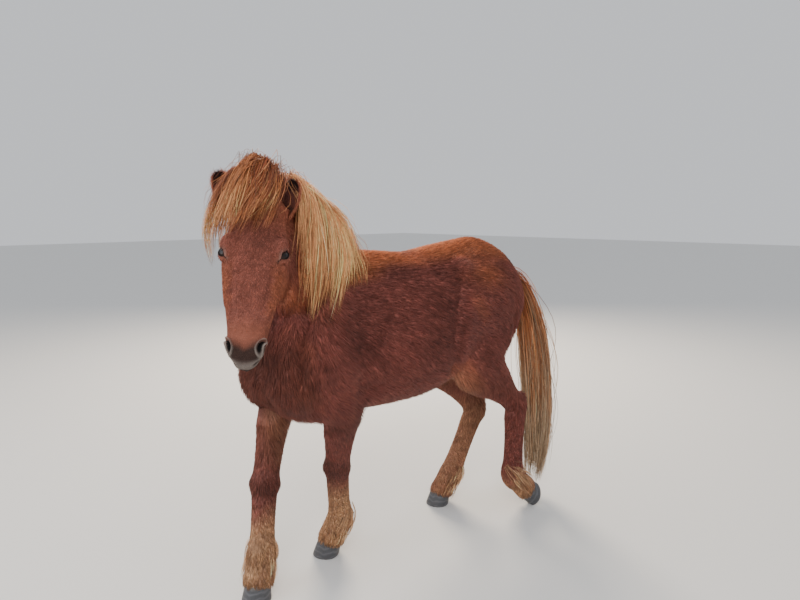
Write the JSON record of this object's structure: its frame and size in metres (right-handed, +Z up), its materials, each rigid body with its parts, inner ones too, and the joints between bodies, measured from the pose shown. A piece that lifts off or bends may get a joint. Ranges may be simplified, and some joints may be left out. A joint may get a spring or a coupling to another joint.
{
  "type": "icelandic horse",
  "caption": "Life-size still model of a chestnut Icelandic horse with a flaxen mane in its winter coat, walking and turning to its left with its head turned to the viewer.",
  "frame": {"origin": "on the ground, under the middle of the bounding box", "axes": "+X forward along the chest, +Y to the horse's left, +Z up"},
  "size_m": [1.7536, 0.6116, 1.6022],
  "materials": {
    "coat": "long matte winter hair",
    "mane_hair": "long coarse flaxen hair",
    "hoof_horn": "dull slate-grey horn",
    "eye_gloss": "wet and glossy, nearly black"
  },
  "bodies": {
    "root": {"torso": "coat", "head": "coat", "neck": "coat", "foreleg_left": "coat", "foreleg_right": "coat", "hindleg_left": "coat", "hindleg_right": "coat", "ear_left": "coat", "ear_right": "coat", "tail": "mane_hair", "hoof_left_fore": "hoof_horn", "hoof_right_fore": "hoof_horn", "hoof_left_hind": "hoof_horn", "hoof_right_hind": "hoof_horn", "eye_left": "eye_gloss", "eye_right": "eye_gloss"}
  },
  "joints": []
}
